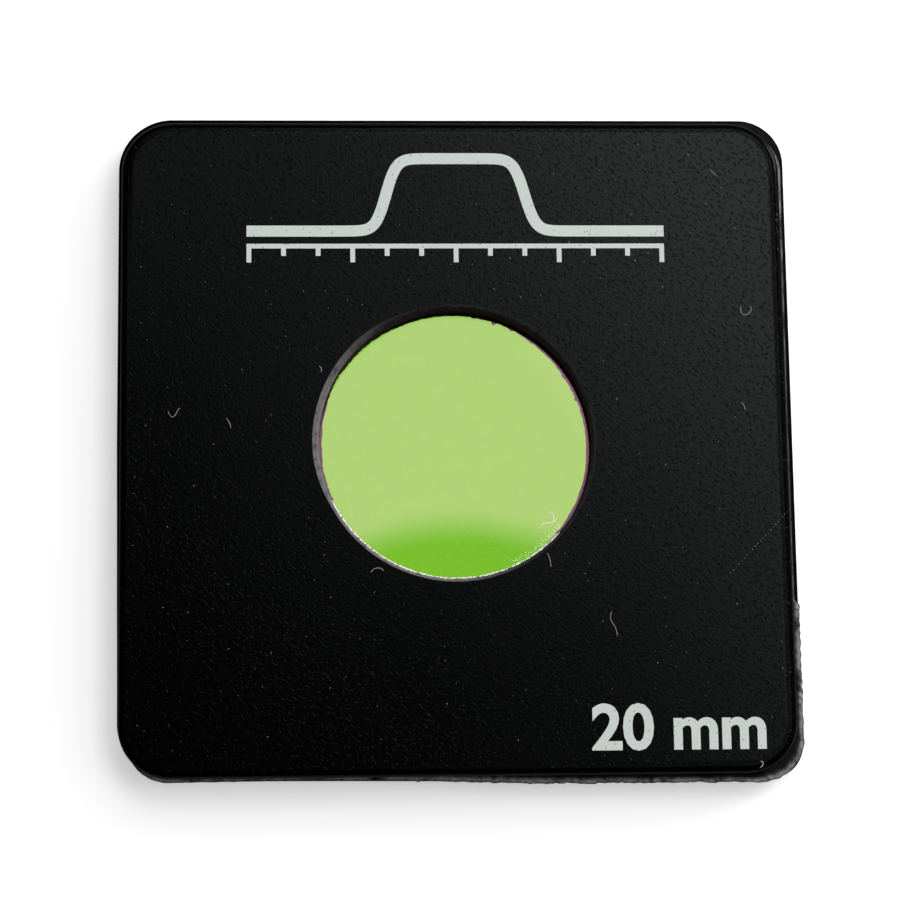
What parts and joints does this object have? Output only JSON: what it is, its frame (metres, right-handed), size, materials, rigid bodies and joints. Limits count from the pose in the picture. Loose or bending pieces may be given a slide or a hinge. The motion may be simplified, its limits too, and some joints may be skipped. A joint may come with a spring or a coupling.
{
  "type": "optical bandpass filter",
  "caption": "Square black plastic slide with rounded corners that holds a round green coated filter glass behind a window.",
  "frame": {"origin": "point where the front window's axis meets the plane of the back face", "axes": "+Z out of the printed face along the window's axis, +Y to the top of the print, +X to its right"},
  "size_m": [0.0505, 0.0502, 0.0037],
  "materials": {
    "front_plate": "fine-grained black plastic sheet with a low sheen and white print",
    "back_plate": "fine-grained black plastic sheet",
    "bond_tape": "dark grey double-sided tape with a ragged rim",
    "filter_glass": "green filter glass with a mirror-like interference coat"
  },
  "bodies": {
    "root": {"front_plate": "front_plate", "back_plate": "back_plate", "bond_tape": "bond_tape", "filter_glass": "filter_glass"}
  },
  "joints": []
}
